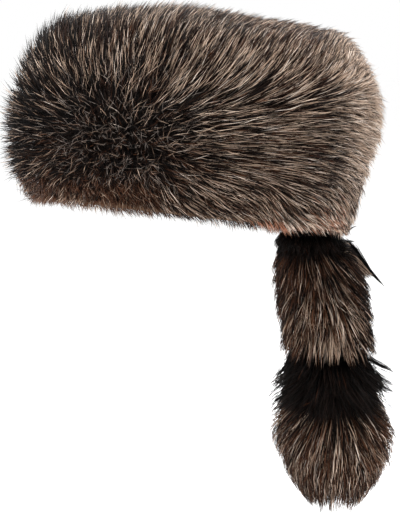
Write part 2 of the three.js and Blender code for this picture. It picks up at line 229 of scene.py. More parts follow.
def capPoints(angle, section, fullness=1.0):  # fullness 1 is at the tips of the fur, 0 on the hide
    below = np.minimum(section, 0)  # under the rim it hangs straight down
    section = np.clip(section, 0, crownMiddle)
    low = np.clip(np.floor(section).astype(int), 0, crownMiddle - 1)
    row = mix(capSections[low], capSections[low + 1], (section - low)[..., None])
    back = (1 - np.cos(angle)) / 2
    height = mix(row[..., 0], row[..., 1], back)
    reach = mix(row[..., 2], row[..., 3], back) * capForm["furDepth"] * fullness
    inward = row[..., 4]
    x, y, top = planOfHide(angle, height, inward, reach)
    top = top + capForm["hideTop"] + capForm["crownFur"] * fullness
    top = top + domeRise(inward) * height
    return tilted(np.stack([x, y, top * height + capForm["hang"] * below], axis=-1))


def hidePoints(angle, height, inward, out):  # just off the hide
    x, y, top = planOfHide(angle, height, inward, out)
    top = top + (capForm["hideTop"] + domeRise(inward)) * (height >= 1) * (inward > 0)
    return tilted(np.stack([x, y, top * height], axis=-1))


# Form of the tail

tailForm = dict(width=0.070, depth=0.060, sway=0.021, swayEnds=0.62, length=0.193,
                root=Vector((0, 0.1031, -0.0136)))
# down, width, depth: wider from the lower ring down than in the solids, because the tips stand off there
tailSections = np.array([
    (-0.06, 0.62, 0.60), (0.02, 0.86, 0.84), (0.10, 0.92, 0.92), (0.28, 1.06, 1.02), (0.45, 1.02, 0.99),
    (0.56, 1.12, 1.06), (0.68, 1.26, 1.15), (0.78, 1.36, 1.24), (0.87, 1.26, 1.15), (0.94, 1.06, 0.97),
    (1.00, 0.78, 0.73), (1.06, 0.50, 0.46)])


def tailPoints(angle, level, fullness=1.0):  # level is metres down from the root
    down = level / tailForm["length"]
    across = np.interp(down, tailSections[:, 0], tailSections[:, 1]) * tailForm["width"] / 2 * fullness
    through = np.interp(down, tailSections[:, 0], tailSections[:, 2]) * tailForm["depth"] / 2 * fullness
    sway = tailForm["sway"] * np.sin(np.clip(down / tailForm["swayEnds"], 0, 1) * math.pi / 2)
    root = tailForm["root"]
    x = root.x + across * np.sin(angle)
    y = root.y + sway - through * np.cos(angle)
    return np.stack([x, y, root.z - level], -1)


# Underfur shells: sheets under the hair, their near-black colour partly painted shade deep in the fur

def shell(name, look, place, material, node):  # a grid wrapped round to place(angle, share)
    mesh = bmesh.new()
    bmesh.ops.create_grid(mesh, x_segments=look["columns"], y_segments=look["rows"], size=0.5)
    angle = np.array([(v.co.x + 0.5) * 2 * math.pi for v in mesh.verts])
    share = np.array([v.co.y + 0.5 for v in mesh.verts])
    for vert, point in zip(mesh.verts, place(angle, share)):
        vert.co = point
    bmesh.ops.remove_doubles(mesh, verts=mesh.verts, dist=2e-5)
    bmesh.ops.recalc_face_normals(mesh, faces=mesh.faces)
    for face in mesh.faces:
        face.smooth = True
    data = bpy.data.meshes.new(name)
    mesh.to_mesh(data)
    mesh.free()
    piece = bpy.data.objects.new(name, data)
    bpy.context.scene.collection.objects.link(piece)
    data.materials.append(material)
    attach(piece, "root")
    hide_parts(node)


def lumpy(look, angle, share):  # the shell's fullness, with soft tufts of two sizes
    around, along = look["around"], look["along"]
    coarse = np.sin(around * angle + 2.1 * np.sin(along * share * 2.3))
    coarse = coarse * np.sin(along * share * 6.0 + 1.7 * np.sin(3 * angle))
    fine = 0.6 * np.sin((around * 2 + 1) * angle + 5 * share)
    fine = fine * np.sin(along * 11 * share + 2 * np.sin(5 * angle))
    return look["fullness"] * (1 + look["lump"] * (coarse + fine))


hideGap = 0.0006
bandShell = dict(  # outerEnd, seamEnd and rimEnd are shares of the rows
    fullness=0.52, lump=0.05, around=19, along=3, rows=64, columns=120,
    outerEnd=0.70, seamEnd=0.80, rimEnd=0.97,
)


def bandShellPoints(angle, share):  # up the outside, in along the parting and down again beside the hide
    bottom, top = np.zeros_like(angle), np.ones_like(angle)
    section = ramp(share, 0, bandShell["outerEnd"]) * shoulder
    outer = capPoints(angle, section, lumpy(bandShell, angle, share))
    start = capPoints(angle, bottom, lumpy(bandShell, angle, bottom))
    seam = hidePoints(angle, top, bottom, hideGap)
    rim = hidePoints(angle, bottom, bottom, hideGap)
    over = mix(outer, seam, ramp(share, bandShell["outerEnd"], bandShell["seamEnd"])[:, None])
    inner = mix(seam, rim, ramp(share, bandShell["seamEnd"], bandShell["rimEnd"])[:, None])
    under = mix(inner, start, ramp(share, bandShell["rimEnd"], 1)[:, None])
    return np.where(share[:, None] <= bandShell["seamEnd"], over, under)


crownShell = dict(  # parting is how many sections above the shoulder it ends
    fullness=0.52, lump=0.05, around=13, along=3, rows=44, columns=100,
    outerEnd=0.62, edgeEnd=0.70, parting=0.12, middle=0.001,
)


def crownShellPoints(angle, share):  # from the middle out over the crown, and back under it
    full = lumpy(crownShell, angle, share)
    lowest = shoulder + crownShell["parting"]
    top = capPoints(angle, mix(crownMiddle, lowest, ramp(share, 0, crownShell["outerEnd"])), full)
    edge = capPoints(angle, np.full_like(angle, lowest), full)
    inward = mix(crownShell["middle"], 1, ramp(share, crownShell["edgeEnd"], 1))
    inner = hidePoints(angle, np.ones_like(angle), inward, 0.0)
    inner[:, 2] += hideGap
    toInner = ramp(share, crownShell["outerEnd"], crownShell["edgeEnd"])[:, None]
    return np.where(share[:, None] <= crownShell["outerEnd"], top, mix(edge, inner, toInner))


tailShell = dict(  # closed is the share of the rows that draws an end in
    fullness=0.60, lump=0.05, around=7, along=2, rows=30, columns=40, closed=0.12,
)
lumpsPerMetre = 20


def tailShellPoints(start, end):  # a sleeve between two levels, drawn in to a point at both ends
    def place(angle, share):
        closed = tailShell["closed"]
        level = start + (end - start) * ramp(share, closed, 1 - closed)
        full = lumpy(tailShell, angle, level * lumpsPerMetre)
        full = full * ramp(share, 0, closed) * ramp(share, 1, 1 - closed)
        return tailPoints(angle, level, full)
    return place


# near-black underfur colours: partly the underfur's own dark brown, partly painted shade between the hairs
bandUnderfurAndShade = shadedUnderfurMaterial("packedUnderfurAndShadeBrown", "#060505", "#1e1713")
tailUnderfurAndShade = shadedUnderfurMaterial("packedUnderfurAndShadeTail", "#080505", "#2a1a12")
ringUnderfurAndShade = shadedUnderfurMaterial("packedUnderfurAndShadeBlack", "#030303", "#0b0908")
shell("bandUnderfurAndShade", bandShell, bandShellPoints, bandUnderfurAndShade, "side_band_fur")
shell("crownUnderfurAndShade", crownShell, crownShellPoints, bandUnderfurAndShade, "crown_fur")
tailPieces = [  # name, node, from and to in metres down, underfur, slot
    ("tailRingUpperUnderfurAndShade", "tail_ring_upper", 0.0025, 0.0137, ringUnderfurAndShade, "black_tail_fur"),
    ("tailUpperUnderfurAndShade", "tail_upper", 0.0143, 0.0837, tailUnderfurAndShade, "brown_tail_fur"),
    ("tailRingLowerUnderfurAndShade", "tail_ring_lower", 0.0843, 0.1217, ringUnderfurAndShade, "black_tail_fur"),
    ("tailTipUnderfurAndShade", "tail_tip", 0.1223, 0.1900, tailUnderfurAndShade, "brown_tail_fur"),
]
for name, node, start, end, material, slot in tailPieces:
    shell(name, tailShell, tailShellPoints(start, end), material, node)
print("underfur done")


# Hair: joined meshes of closed three-sided strands, each drawn out to a point at both ends

strandLook = dict(
    at=[0.2, 0.4, 0.7, 0.9], thick=[0.8, 1.0, 0.8, 0.5],  # thickness along a strand, as shares
    tones=(0.005, 0.975), toneWidth=0.005,  # the strip of the tones that a strand's side covers
)


def strandFaces(rings):  # one strand's faces round its rings; its last two vertices are its root and tip
    corner, u, v, sizes = [], [], [], []
    step = 1 / (rings + 1)
    rootEnd, tipEnd, lastRing = rings * 3, rings * 3 + 1, (rings - 1) * 3
    for k in range(3):
        beside = (k + 1) % 3
        corner += [rootEnd, beside, k]
        u += [k + 0.5, k + 1, k]
        v += [0, step, step]
        sizes.append(3)
        for ring in range(rings - 1):
            low, high = ring * 3, ring * 3 + 3
            corner += [low + k, low + beside, high + beside, high + k]
            u += [k, k + 1, k + 1, k]
            v += [(ring + 1) * step, (ring + 1) * step, (ring + 2) * step, (ring + 2) * step]
            sizes.append(4)
        corner += [lastRing + k, lastRing + beside, tipEnd]
        u += [k, k + 1, k + 0.5]
        v += [rings * step, rings * step, 1]
        sizes.append(3)
    return np.array(corner), np.array(u), np.array(v), np.array(sizes)


def strandMesh(name, path, width, tone, material):
    count, rings = len(path), path.shape[1] - 2
    along = unit(path[:, 2:] - path[:, :-2])  # at each ring
    side = unit(random.normal(size=(count, 1, 3)))
    side = unit(side - (side * along).sum(-1, keepdims=True) * along)
    other = np.cross(along, side)
    shape = np.interp(np.linspace(0, 1, rings + 2)[1:-1], strandLook["at"], strandLook["thick"])
    radius = (width[:, None] / 2 * shape)[..., None]
    perStrand = rings * 3 + 2
    verts = np.empty((count, perStrand, 3))
    for k in range(3):
        turn = 2 * math.pi * k / 3
        verts[:, k:rings * 3:3] = path[:, 1:-1] + radius * (math.cos(turn) * side + math.sin(turn) * other)
    verts[:, -2], verts[:, -1] = path[:, 0], path[:, -1]
    corner, u, v, sizes = strandFaces(rings)
    corners = (np.arange(count)[:, None] * perStrand + corner).ravel()
    starts = np.concatenate([[0], np.cumsum(sizes)[:-1]])
    starts = (np.arange(count)[:, None] * len(corner) + starts).ravel()
    data = bpy.data.meshes.new(name)
    data.vertices.add(count * perStrand)
    data.vertices.foreach_set("co", verts.astype(np.float32).ravel())
    data.loops.add(len(corners))
    data.loops.foreach_set("vertex_index", corners.astype(np.int32))
    data.polygons.add(len(starts))
    data.polygons.foreach_set("loop_start", starts.astype(np.int32))
    data.update(calc_edges=True)
    data.polygons.foreach_set("use_smooth", np.ones(len(starts), bool))
    flat = np.empty((count, len(corner), 2), np.float32)
    flat[..., 0] = np.clip(tone, *strandLook["tones"])[:, None] + u * strandLook["toneWidth"]
    flat[..., 1] = v
    data.uv_layers.new(name="OFBake").data.foreach_set("uv", flat.ravel())
    data.update()
    piece = bpy.data.objects.new(name, data)
    bpy.context.scene.collection.objects.link(piece)
    data.materials.append(material)
    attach(piece, "root")
    triangles = count * 6 * rings
    print(name, count, "hairs", triangles, "triangles")
    return triangles


def nearest(tree, points):  # the number of the tree's nearest point to each
    return np.array([tree.find(p)[1] for p in points])


def treeOf(points):
    tree = KDTree(len(points))
    for i, p in enumerate(points):
        tree.insert(p, i)
    tree.balance()
    return tree


rustTone, rustEnds, darkestTone = 0.012, 0.05, 0.06  # rust lies below the black
hairTones = dict(  # low and high, or low, usual and high, on the scale of hairLook's tones
    dark=(0.06, 0.27), darkBackSheen=(0.66, 0.90), silver=(0.60, 0.78, 1.0), dull=(0.06, 0.34),
    soft=(0.14, 0.44), softBackSheen=(0.62, 0.90), rim=(0.33, 0.54), rimPale=(0.66, 0.78),
    whorl=(0.56, 0.60, 0.66), whorlDark=(0.06, 0.15), cream=(0.84, 0.97),
    black=(0.08, 0.27), blackBrown=(0.30, 0.44), brown=(0.08, 0.48), brownPale=(0.56, 0.74, 0.98),
    tip=(0.08, 0.53), tipPale=(0.56, 0.76, 1.0), wisp=(0.06, 0.14), fillPale=(0.6, 0.9), fill=(0.06, 0.34),
)


def among(count, share):  # picks this share of the hairs
    return random.uniform(0, 1, count) < share


def evenly(kind, count):  # all the tones of a range alike
    return random.uniform(*hairTones[kind], count)


def mostly(kind, count):  # tones round the usual one
    return random.triangular(*hairTones[kind], count)


def mixedIn(tone, share, kind):  # gives this share of the hairs another tone
    picked = among(len(tone), share)
    return np.where(picked, evenly(kind, len(tone)), tone)


def clumped(path, tone, kind, pull):  # tips drawn together in pointed clumps
    roots = path[:, 0]
    centres = random.choice(len(roots), max(len(roots) // kind["clump"], 1), replace=False)
    near = centres[nearest(treeOf(roots[centres]), roots)]
    share = np.linspace(0, 1, path.shape[1])[None, :, None] ** 1.4
    pull = (pull * random.uniform(0.25, 1.0, len(path)))[:, None, None]
    path = path + (path[near] - path) * share * pull
    shifted = np.maximum(tone + kind["clumpTone"] * random.normal(size=len(roots))[near], darkestTone)
    return path, np.where(tone < rustEnds, tone, shifted)


# Lie of the hair on the cap

hairFlow = dict(
    whorl=(0.059, -0.121, 0.054),  # where the hair parts, to the right of the front
    eddy=(0.087, -0.094, 0.041), eddyWide=0.024, eddyPull=0.9,
    droop=0.40, rimFall=1.1, backFall=0.40, crownRise=0.9,
    rootFall=1.6, rootAt=0.054, rootWide=0.012,  # just left of the tail's root
    nearSide=(-0.04, 0.02), drooping=(0.07, 0.11), fallChanges=(-0.055, 0.0),  # from where to where
    falling=(0.036, 0.0), rising=(0.075, 0.115), behind=(0, 0.1),
    around=300, rows=170, lowest=-1.6, highest=11.9,  # the skin's points and sections
)
nearSideTurn = dict(cosine=0.574, sine=0.819)  # the near side faces 55 degrees round from the front
capMarks = dict(  # soft patches on the near side in mm: along, height, half width, half height
    whorl=(-54, 56, 42, 33), patch=(92, 52, 12, 32), pale=(-79, 8, 10, 12),
    rustUnder=(51, -5, 19, 11), rustBack=(98, 3, 14, 9),
)


def alongSide(point):  # from the left of the front to the right of the back
    return nearSideTurn["cosine"] * point[:, 0] + nearSideTurn["sine"] * point[:, 1]


def outOfSide(point):  # straight out of the near side
    return nearSideTurn["sine"] * point[:, 0] - nearSideTurn["cosine"] * point[:, 1]


def spot(along, height, mark):  # 1 in the middle of a patch, fading out all round
    atAlong, atHeight, wide, tall = capMarks[mark]
    return np.exp(-((along - atAlong) / wide) ** 2 - ((height - atHeight) / tall) ** 2)


def capZones(root):  # how far each hair is in each zone, 0 to 1, from where it is in mm
    along, toward, height = alongSide(root) * 1000, outOfSide(root) * 1000, root[:, 2] * 1000
    side = ramp(toward, -20, 40)
    rust = 1.2 * spot(along, height, "rustUnder") + 0.8 * spot(along, height, "rustBack")
    return dict(
        along=along, height=height, nearSide=side,
        whorl=spot(along, height, "whorl") * side,
        # a dark band along a parting before the back edge: painted shadow in the parting
        patch=spot(along, height, "patch") * ramp(toward, 12, 60),
        pale=spot(along, height, "pale"),
        rust=np.clip(rust, 0, 1) * side,
        top=ramp(height, 98, 122),
        front=ramp(along, -78, -112),
        left=ramp(along, -40, -105),
        right=ramp(along, 0, 60),
        # back: the near side's back edge, where the hair stands more and is drawn paler as painted sheen of
        # hair seen at a grazing angle
        back=ramp(along, 84, 114) * ramp(height, 8, 34),
        corner=ramp(along, 70, 105) * ramp(height, 85, 110),
        sag=ramp(height, 98, 122) * np.clip(ramp(along, -8, 38) - 0.7 * ramp(along, 80, 98), 0, 1),
        tailSide=ramp(along, 84, 96) * ramp(height, 24, 8),
        rim=ramp(height, 39, 32) * ramp(along, -8, -42),
        overRing=ramp(along, 42, 52) * ramp(height, 11, 1),  # where the hair hangs over the tail's root
    )


def skinOfCap():  # the tips' envelope as points with their normal and the lie of the hair
    angle = np.linspace(0, 2 * math.pi, hairFlow["around"], endpoint=False)
    section = np.linspace(hairFlow["lowest"], hairFlow["highest"], hairFlow["rows"])
    angle, section = (grid.ravel() for grid in np.meshgrid(angle, section))
    point = capPoints(angle, section)
    around = capPoints(angle + 2e-3, section) - capPoints(angle - 2e-3, section)
    upward = capPoints(angle, section + 0.04) - capPoints(angle, section - 0.04)
    normal = unit(np.cross(around, upward))
    flow = unit(point - np.array(hairFlow["whorl"]))
    eddy = point - np.array(hairFlow["eddy"])
    near = np.exp(-(np.linalg.norm(eddy, axis=-1, keepdims=True) / hairFlow["eddyWide"]) ** 2)
    flow += hairFlow["eddyPull"] * unit(eddy) * near
    height, along = point[:, 2], alongSide(point)
    behind = ramp(point[:, 1], *hairFlow["behind"])
    nearSide = ramp(outOfSide(point), *hairFlow["nearSide"])
    flow[:, 2] -= hairFlow["droop"] * behind * (1 - nearSide * ramp(height, *hairFlow["drooping"]))
    change = ramp(along, *hairFlow["fallChanges"])
    fall = hairFlow["rimFall"] + (hairFlow["backFall"] - hairFlow["rimFall"]) * change
    atRoot = np.exp(-((along - hairFlow["rootAt"]) / hairFlow["rootWide"]) ** 2)
    fall = fall + hairFlow["rootFall"] * nearSide * atRoot
    flow[:, 2] -= fall * ramp(height, *hairFlow["falling"]) ** 1.5
    flow[:, 2] += hairFlow["crownRise"] * nearSide * ramp(height, *hairFlow["rising"])
    flow -= (flow * normal).sum(-1, keepdims=True) * normal
    return point, normal, flow


skinPoint, skinNormal, skinFlow = skinOfCap()
skinTree = treeOf(skinPoint)
print("lie of the hair worked out")


def steadiness(lie):  # how clearly the hair lies one way: little in the whorl, 1 along the sides
    return np.linalg.norm(lie, axis=-1) * 1.6


def rising(t):  # how far a hair has risen at a share of its length: fast at first
    return 1.6 * t - 0.6 * t * t


swing = 4.5  # radians that a hair's wave turns through from root to tip


def combed(root, depth, tipDepth, length, heading, kind):  # steps over the skin, rising to the tip
    segments = kind["segments"]
    near = nearest(skinTree, root)
    phase = random.uniform(0, 2 * math.pi, len(root))
    path, place = [root], root
    for step in range(1, segments + 1):
        t = step / segments
        lie = skinFlow[near]
        strength = np.clip(steadiness(lie), 0.15, 1)
        turn = (heading + kind["wave"] * np.sin(phase + swing * t))[:, None]
        lie = lie / np.maximum(np.linalg.norm(lie, axis=-1, keepdims=True), 0.2)
        lie = lie * np.cos(turn) + np.cross(skinNormal[near], lie) * np.sin(turn)
        ahead = place + lie * (length * strength / segments)[:, None]
        near = nearest(skinTree, ahead)
        off = ((ahead - skinPoint[near]) * skinNormal[near]).sum(-1)
        wanted = -(depth + (tipDepth - depth) * rising(t))
        hug = 1.0 if step < segments else 0.8
        place = ahead + skinNormal[near] * ((wanted - off) * hug)[:, None]
        path.append(place)
    return np.stack(path, axis=1)


def scatterCap(count, low, high):  # roots spread evenly over the fur between two sections
    tries = count * 5
    angle = random.uniform(0, 2 * math.pi, tries)
    section = random.uniform(low, high, tries)
    a = capPoints(angle + 1e-3, section) - capPoints(angle - 1e-3, section)
    s = capPoints(angle, section + 0.02) - capPoints(angle, section - 0.02)
    area = np.linalg.norm(np.cross(a, s), axis=-1)
    chosen = random.choice(tries, count, replace=False, p=area / area.sum())
    return angle[chosen], section[chosen]


def weighted(value, zone, **weights):  # adds each zone's share
    for name, weight in weights.items():
        value = value + weight * zone[name]
    return value


def dimmed(value, zone, **weights):  # takes each zone's share away
    for name, weight in weights.items():
        value = value * (1 - weight * zone[name])
    return value


tufts = dict(perMetre=450, hem=0.5, depth=0.0035, frontDepth=0.002, length=0.30)  # some 14 mm apart


def tufted(root):  # soft tufts, -1 to 1
    x, y, z = (root * tufts["perMetre"]).T
    wave = np.sin(x + 1.7 * np.sin(0.6 * y + z)) + np.sin(y + 1.9 * np.sin(0.7 * z + x))
    return np.clip((wave + np.sin(z + 2.1 * np.sin(0.8 * x + y))) / 2, -1, 1)


rimHem = dict(below=0.0055, besideTail=0.010, shortest=0.25)  # how far the hair hangs under the rim


def trimmed(path, zone):  # hair that would hang too far below the rim ends sooner
    tip, root = path[:, -1], path[:, 0]
    hem = rimHem["below"] * (1 + tufts["hem"] * tufted(root)) * random.uniform(0.55, 1.3, len(path))
    hem = hem + rimHem["besideTail"] * zone["nearSide"] * ramp(zone["along"], 36, 50)
    lowest = -math.tan(-capForm["tilt"]) * tip[:, 1] - hem
    fall = np.maximum(root[:, 2] - tip[:, 2], 1e-4)
    kept = np.where(tip[:, 2] < lowest, np.clip((root[:, 2] - lowest) / fall, rimHem["shortest"], 1), 1)
    return root[:, None] + (path - root[:, None]) * kept[:, None, None]


growth = dict(  # what the cap's zones do to its hair
    stands=dict(top=0.7, front=0.8, back=0.75), looseStands=0.7, mostStands=0.9,
    inBehind=0.008, inward=dict(corner=0.004, front=-0.0035), standsOut=0.9, standsIn=0.6, deepestTip=0.75,
    stragglers=0.12, straggler=0.0035, rootOut=dict(front=0.12), leastDepth=0.002,
    shortInWhorl=dict(whorl=0.55), shortStanding=0.5, shortByTail=dict(tailSide=0.4),
    strayInWhorl=1.1, looserInWhorl=0.6, pulledStanding=0.8, mostPull=0.95,
)


def tipDepths(zone, kind, depth, tuft, stands):  # how deep under the envelope each tip ends
    count = len(depth)
    inward = weighted(growth["inBehind"] * np.maximum(zone["back"], zone["sag"]), zone, **growth["inward"])
    outmost = kind["tipOut"] * (1 + growth["standsOut"] * stands) + inward
    inmost = kind["tipIn"] * (1 - growth["standsIn"] * stands)
    tips = outmost + (inmost - outmost) * random.uniform(0, 1, count)
    tips = tips - (tufts["depth"] + tufts["frontDepth"] * zone["front"]) * tuft
    tips = tips - growth["straggler"] * among(count, growth["stragglers"]) * stands
    return np.minimum(tips, growth["deepestTip"] * depth)


def hairLengths(section, zone, kind, tuft, stands):  # short in the whorl, at the rim and where it stands
    shorter = dimmed(1, zone, **growth["shortInWhorl"])
    shorter = shorter * (1 - growth["shortStanding"] * stands * (1 - zone["rim"]))
    shorter = dimmed(shorter, zone, **growth["shortByTail"])
    length = kind["length"] * random.uniform(0.7, 1.2, len(section)) * shorter * (1 + tufts["length"] * tuft)
    length = length * np.interp(section, [0, 1, 2], [kind["atRim"], 0.5 + 0.5 * kind["atRim"], 1.0])
    overRim = np.maximum(zone["height"] - 30, 8) / 1000  # so that it ends above the soft rim
    return np.where((zone["along"] < -42) & (zone["height"] > 32), np.minimum(length, overRim), length)


hairMat = hairMaterial("raccoonGuardHair")


def capHair(name, count, low, high, kind):
    angle, section = scatterCap(count, low, high)
    zone = capZones(capPoints(angle, section))
    kept = random.uniform(0, 1, count) < kind["grows"](zone)
    angle, section = angle[kept], section[kept]
    zone = {key: value[kept] for key, value in zone.items()}
    count = len(angle)
    fullness = weighted(random.uniform(kind["rootLow"], kind["rootHigh"], count), zone, **growth["rootOut"])
    root = capPoints(angle, section, fullness)
    near = nearest(skinTree, root)
    depth = ((skinPoint[near] - root) * skinNormal[near]).sum(-1)
    depth = np.maximum(depth, growth["leastDepth"])
    loose = 1 - np.clip(steadiness(skinFlow[near]), 0, 1)
    stands = weighted(0, zone, **growth["stands"]) + growth["looseStands"] * loose
    stands = np.clip(stands, 0, growth["mostStands"])
    tuft = tufted(root) * np.clip(0.25 + zone["front"] + zone["top"] + zone["back"], 0, 1)
    tipDepth = tipDepths(zone, kind, depth, tuft, stands)
    length = hairLengths(section, zone, kind, tuft, stands)
    heading = random.normal(size=count) * (kind["stray"] + growth["strayInWhorl"] * zone["whorl"] ** 1.5)
    path = trimmed(combed(root, depth, tipDepth, length, heading, kind), zone)
    tone = kind["tone"](count, zone)
    pull = 1 - growth["looserInWhorl"] * zone["whorl"] + growth["pulledStanding"] * stands
    pull = np.clip(kind["pull"] * pull, 0, growth["mostPull"])
    path, tone = clumped(path, tone, kind, pull)
    width = kind["width"] * random.uniform(0.75, 1.2, count)
    return strandMesh(name, path, width, tone, hairMat)


def offRim(zone):  # the share of the hairs that grow: few on the soft rim at the front
    return 1 - 0.95 * zone["rim"]


def onRim(zone):
    return 0.15 + 0.85 * zone["rim"]


def inWhorl(zone):
    return zone["whorl"] * offRim(zone)


def overRing(zone):
    return zone["overRing"]


def rusted(tone, share):  # makes this share of the hairs rust, and none else darker than black
    return np.where(among(len(tone), share), rustTone, np.maximum(tone, darkestTone))


def darkTone(count, zone):
    tone = evenly("dark", count)
    tone = weighted(tone, zone, top=0.08, rust=0.10, rim=0.12, pale=0.12, right=0.10)
    # darker hairs in the patch: painted shadow
    tone = dimmed(tone, zone, whorl=0.6, patch=0.35, left=0.3)
    # pale hairs at the back edge: painted sheen of hair seen at a grazing angle
    tone = mixedIn(tone, 0.62 * zone["back"], "darkBackSheen")
    return rusted(tone, 0.9 * zone["rust"])


def silverTone(count, zone):
    # paler silver and fewer dull hairs at the back edge: painted sheen of hair seen at a grazing angle
    tone = weighted(mostly("silver", count), zone, back=0.04, whorl=-0.06)
    # more dull hairs in the patch: painted shadow
    dull = weighted(0.35, zone, whorl=0.55, patch=0.36, left=0.38, back=-0.22, top=0.28)
    tone = mixedIn(tone, dull, "dull")
    return rusted(tone, 0.85 * zone["rust"])


def softTone(count, zone):
    tone = weighted(evenly("soft", count), zone, top=0.04)
    tone = dimmed(tone, zone, whorl=0.45, left=0.3)
    # pale hairs at the back edge: painted sheen of hair seen at a grazing angle
    tone = mixedIn(tone, 0.7 * zone["back"], "softBackSheen")
    return rusted(tone, 0.8 * zone["rust"])


def rimTone(count, zone):
    tone = evenly("rim", count) - 0.08 * ramp(zone["height"], 22, 38)
    return mixedIn(tone, 0.10 + 0.5 * zone["pale"], "rimPale")


def whorlTone(count, zone):
    return mixedIn(mostly("whorl", count), 0.66, "whorlDark")


def creamTone(count, zone):  # rust at the left of the tail's root, cream over it
    rusty = among(count, ramp(zone["along"], 66, 50))
    return np.where(rusty, rustTone, evenly("cream", count))


# Depths in metres under the envelope of the tips, roots as shares of the fur's fullness
guardHair = dict(
    length=0.029, width=0.00062, rootLow=0.44, rootHigh=0.66, tipOut=-0.0045, tipIn=0.009, atRim=0.4,
    stray=0.12, wave=0.03, segments=2, clump=9, pull=0.30, clumpTone=0.03, tone=darkTone, grows=offRim)
silverHair = dict(
    guardHair, length=0.027, width=0.00040, rootLow=0.50, rootHigh=0.74, tipIn=0.006,
    clump=6, pull=0.25, tone=silverTone)
softHair = dict(
    guardHair, length=0.018, width=0.00060, rootLow=0.50, rootHigh=0.74, tipOut=-0.001, tipIn=0.010,
    atRim=0.5, stray=0.20, clump=8, pull=0.5, tone=softTone)
rimHair = dict(
    softHair, length=0.016, width=0.00046, rootLow=0.40, rootHigh=0.94, tipOut=0.0, tipIn=0.006, atRim=0.9,
    clump=30, pull=0.25, clumpTone=0.02, tone=rimTone, grows=onRim)
whorlHair = dict(
    silverHair, length=0.018, width=0.00031, tipOut=-0.004, tipIn=0.002,
    stray=0.6, clump=4, pull=0.3, tone=whorlTone, grows=inWhorl)
fringeHair = dict(
    silverHair, length=0.028, width=0.00046, rootLow=0.6, rootHigh=0.9, tipOut=-0.002, tipIn=0.001,
    stray=0.10, segments=3, clump=2, pull=0.6, tone=creamTone, grows=overRing)
total = 0
total += capHair("bandGuardHair", 18500, 0, shoulder, guardHair)
total += capHair("bandSilverHair", 27000, 0, shoulder, silverHair)
total += capHair("bandSoftHair", 11500, 0, shoulder, softHair)
total += capHair("rimSoftHair", 24000, 0, 3.5, rimHair)
total += capHair("whorlShortHair", 40000, 2, 7, whorlHair)
total += capHair("ringFringeHair", 1500, 0, 1.6, fringeHair)
total += capHair("crownGuardHair", 10000, shoulder, crownMiddle, guardHair)
total += capHair("crownSilverHair", 14500, shoulder, crownMiddle, silverHair)
total += capHair("crownSoftHair", 5500, shoulder, crownMiddle, softHair)
print("hair of the cap done")


# Hair of the tail: it parts along the line that faces out and back, and fans down both sides

tailFlow = dict(parting=math.radians(55), facing=0.030)


def tailHair(name, count, start, end, kind):
    angle = random.uniform(-math.pi, math.pi, count)
    share = random.uniform(0, 1, count)
    right, left = np.clip(np.sin(angle), 0, 1), np.clip(-np.sin(angle), 0, 1)
    dip = kind["dip"] * np.maximum(np.cos(angle), -0.3) * (1 - share) ** kind["dipFades"]
    level = start + (end - start) * share + dip
    fan = np.sin(angle) * np.where(angle > 0, kind["fanRight"], kind["fanLeft"])
    fan = fan * (1 - kind["straightens"] * share) + random.normal(size=count) * kind["stray"]
    length = kind["length"] * random.uniform(0.7, 1.15, count) * (1 - kind["shortens"] * share)
    low = random.uniform(kind["rootLow"], kind["rootHigh"], count)
    high = random.uniform(kind["tipLow"], kind["tipHigh"], count)
    high = high * (1 - kind["rightIn"] * right)
    high = high * (1 - kind["leftIn"] * left * (0.6 + share))
    phase = random.uniform(0, 2 * math.pi, count)
    path = []
    for t in np.linspace(0, 1, kind["segments"] + 1):
        sweep = fan * (1 - 0.25 * t)
        aside = length * t * np.sin(sweep) / tailFlow["facing"]
        wiggle = kind["wave"] * np.sin(phase + swing * t) * t
        full = low + (high - low) * rising(t)
        down = level + length * t * np.cos(sweep)
        path.append(tailPoints(tailFlow["parting"] + angle + aside + wiggle, down, full))
    path = np.stack(path, axis=1)
    tone = kind["tone"](angle, share)
    path, tone = clumped(path, tone, kind, kind["pull"])
    width = kind["width"] * random.uniform(0.75, 1.2, count)
    return strandMesh(name, path, width, tone, hairMat)


def blackTone(angle, share):
    return mixedIn(evenly("black", len(angle)), 0.012, "blackBrown")


def brownTone(angle, share):
    right, left = np.clip(np.sin(angle), 0, 1), np.clip(-np.sin(angle), 0, 1)
    dark = evenly("brown", len(angle)) + 0.02 * left - 0.12 * right
    pale = 0.11 + 0.42 * np.clip(np.cos(angle), 0, 1) ** 2 * share
    pale = pale - 0.10 * left - 0.20 * right * (1 - 0.4 * share)
    picked = among(len(angle), pale)
    return np.where(picked, mostly("brownPale", len(angle)), np.maximum(dark, darkestTone))


def tipTone(angle, share):
    dark = evenly("tip", len(angle))
    picked = among(len(angle), 0.25 - 0.09 * np.abs(np.sin(angle)))
    return np.where(picked, mostly("tipPale", len(angle)), dark)


# Roots and tips as shares of the tail's size, fans in radians
blackHair = dict(
    length=0.024, width=0.00062, rootLow=0.48, rootHigh=0.76, tipLow=0.80, tipHigh=1.08,
    leftIn=0, rightIn=0.10, fanLeft=0.7, fanRight=0.8, straightens=0.2, shortens=0, dip=0.008, dipFades=0,
    stray=0.22, wave=0.02, segments=3, clump=12, pull=0.75, clumpTone=0.01, tone=blackTone)
brownHair = dict(
    length=0.027, width=0.00052, rootLow=0.50, rootHigh=0.80, tipLow=0.80, tipHigh=1.22,
    leftIn=0, rightIn=0.03, fanLeft=0.55, fanRight=1.35, straightens=0.45, shortens=0, dip=0.0, dipFades=0,
    stray=0.13, wave=0.02, segments=3, clump=15, pull=0.8, clumpTone=0.03, tone=brownTone)
tipHair = dict(
    brownHair, length=0.036, tipLow=0.82, tipHigh=1.32, leftIn=0.11, fanLeft=1.05, fanRight=1.40,
    straightens=0.55, shortens=0.3, dip=0.010, dipFades=2, clump=10, tone=tipTone)
